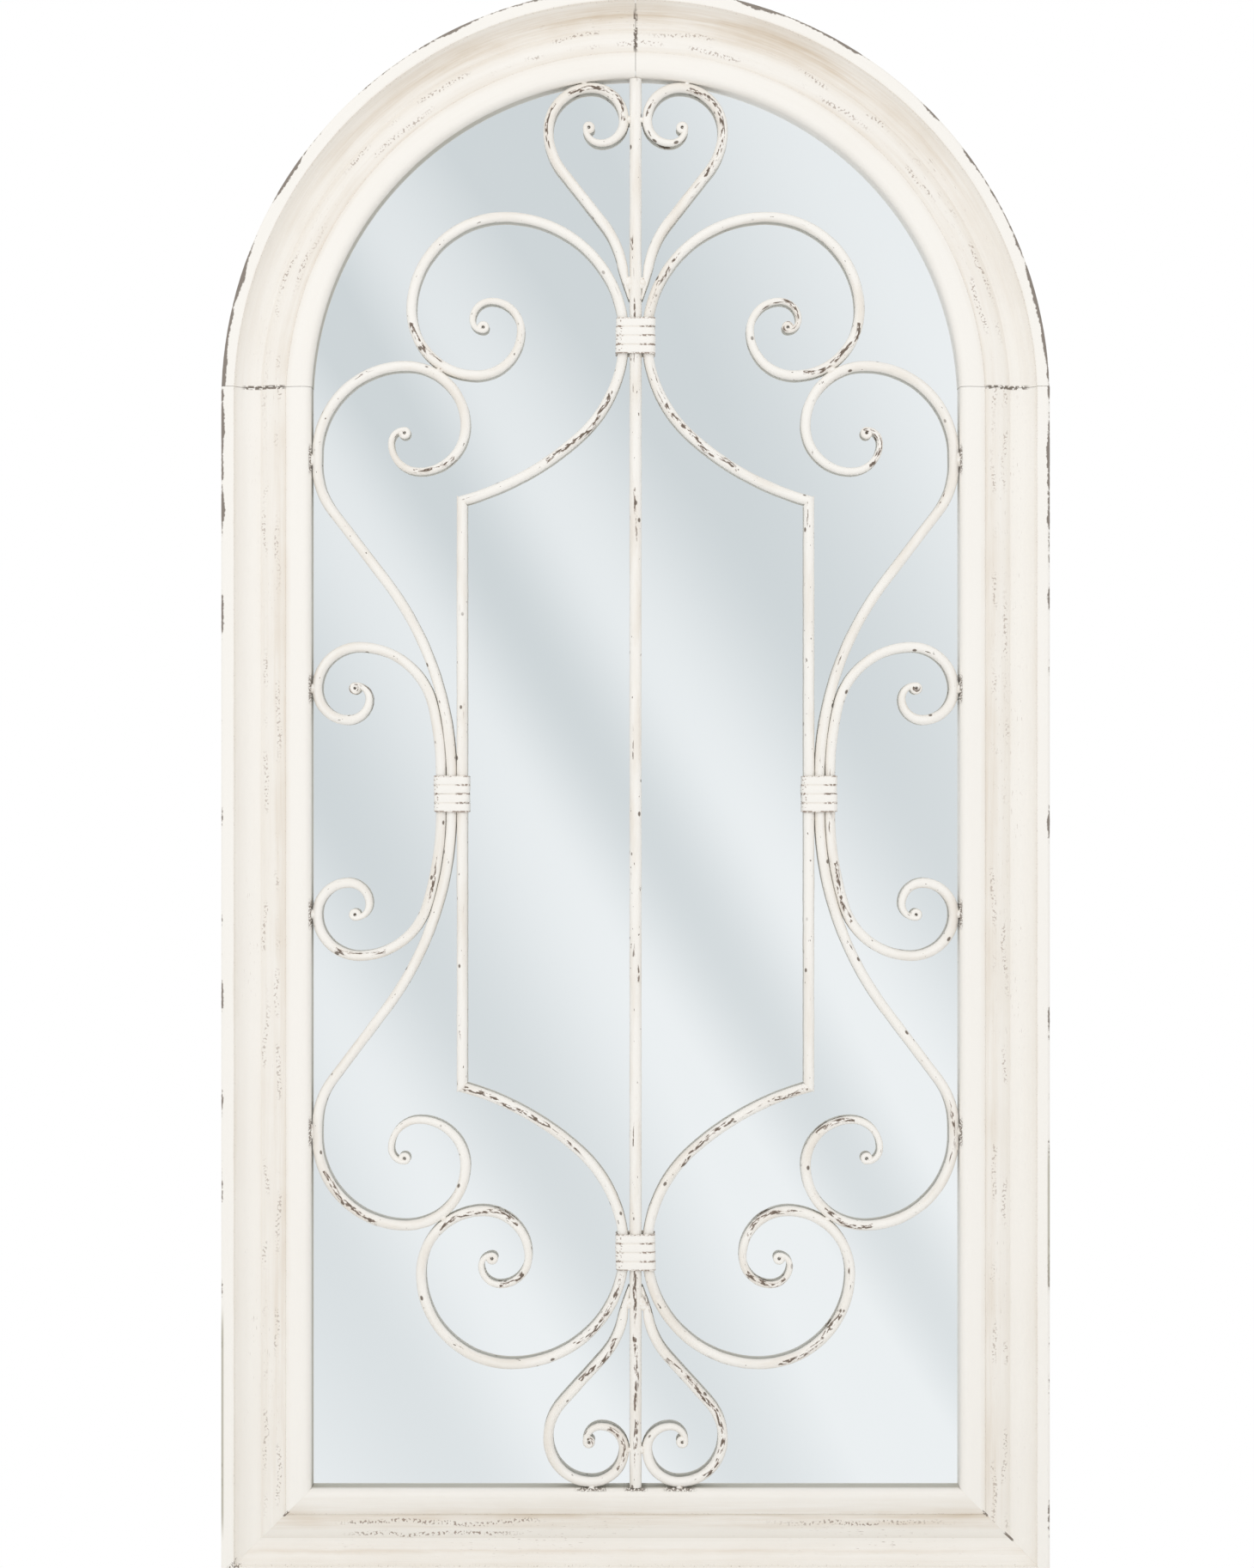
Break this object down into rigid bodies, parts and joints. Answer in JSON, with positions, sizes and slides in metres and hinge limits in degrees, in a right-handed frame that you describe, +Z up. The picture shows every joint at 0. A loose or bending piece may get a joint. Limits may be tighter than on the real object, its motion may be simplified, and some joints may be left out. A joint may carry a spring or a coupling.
{
  "type": "wall mirror",
  "caption": "Arched wall mirror in a distressed cream pressed-metal moulding, with a wrought scroll grille of hearts, curls and wrapped collars in front of the glass.",
  "frame": {"origin": "middle of the bottom edge of the rail's rear hem, in the plane of the wall", "axes": "+X to the viewer's right, +Y out of the back into the wall, +Z up; the front faces -Y"},
  "size_m": [0.61, 0.034, 1.172],
  "materials": {
    "frame_paint": "matt cream paint with brown glaze in the hollows and worn edges",
    "grille_paint": "matt cream paint, chipped to dark metal at collars and crossings",
    "mirror": "silvered float glass",
    "foam": "thin white packing foam",
    "hardboard": "plain brown hardboard",
    "zinc_steel": "bright zinc plate"
  },
  "bodies": {
    "mirror": {"arch_right": "frame_paint", "arch_left": "frame_paint", "stile_right": "frame_paint", "stile_left": "frame_paint", "bottom_rail": "frame_paint", "centre_bar": "grille_paint", "side_bar_right": "grille_paint", "side_bar_left": "grille_paint", "upper_scroll_right": "grille_paint", "upper_scroll_left": "grille_paint", "lower_scroll_right": "grille_paint", "lower_scroll_left": "grille_paint", "shoulder_scroll_right": "grille_paint", "shoulder_scroll_left": "grille_paint", "side_scroll_right": "grille_paint", "side_scroll_left": "grille_paint", "upper_heart_right": "grille_paint", "upper_heart_left": "grille_paint", "lower_heart_right": "grille_paint", "lower_heart_left": "grille_paint", "upper_collar": "grille_paint", "lower_collar": "grille_paint", "side_collar_right": "grille_paint", "side_collar_left": "grille_paint", "panel_lugs": "zinc_steel", "panel_screws": "zinc_steel", "hanger_strap_right": "zinc_steel", "hanger_strap_left": "zinc_steel", "hanger_screws": "zinc_steel", "mirror_glass": "mirror", "foam_sheet": "foam", "back_panel": "hardboard"},
    "ring_right": {"hanger_ring_right": "zinc_steel"},
    "ring_left": {"hanger_ring_left": "zinc_steel"}
  },
  "joints": [
    {"name": "ring_right_swing", "type": "hinge", "parent": "mirror", "child": "ring_right", "pos_m": [0.19, -0.00515, 0.82], "axis": [1, 0, 0], "range_deg": [0, 180]},
    {"name": "ring_left_swing", "type": "hinge", "parent": "mirror", "child": "ring_left", "pos_m": [-0.19, -0.00515, 0.82], "axis": [1, 0, 0], "range_deg": [0, 180]}
  ]
}
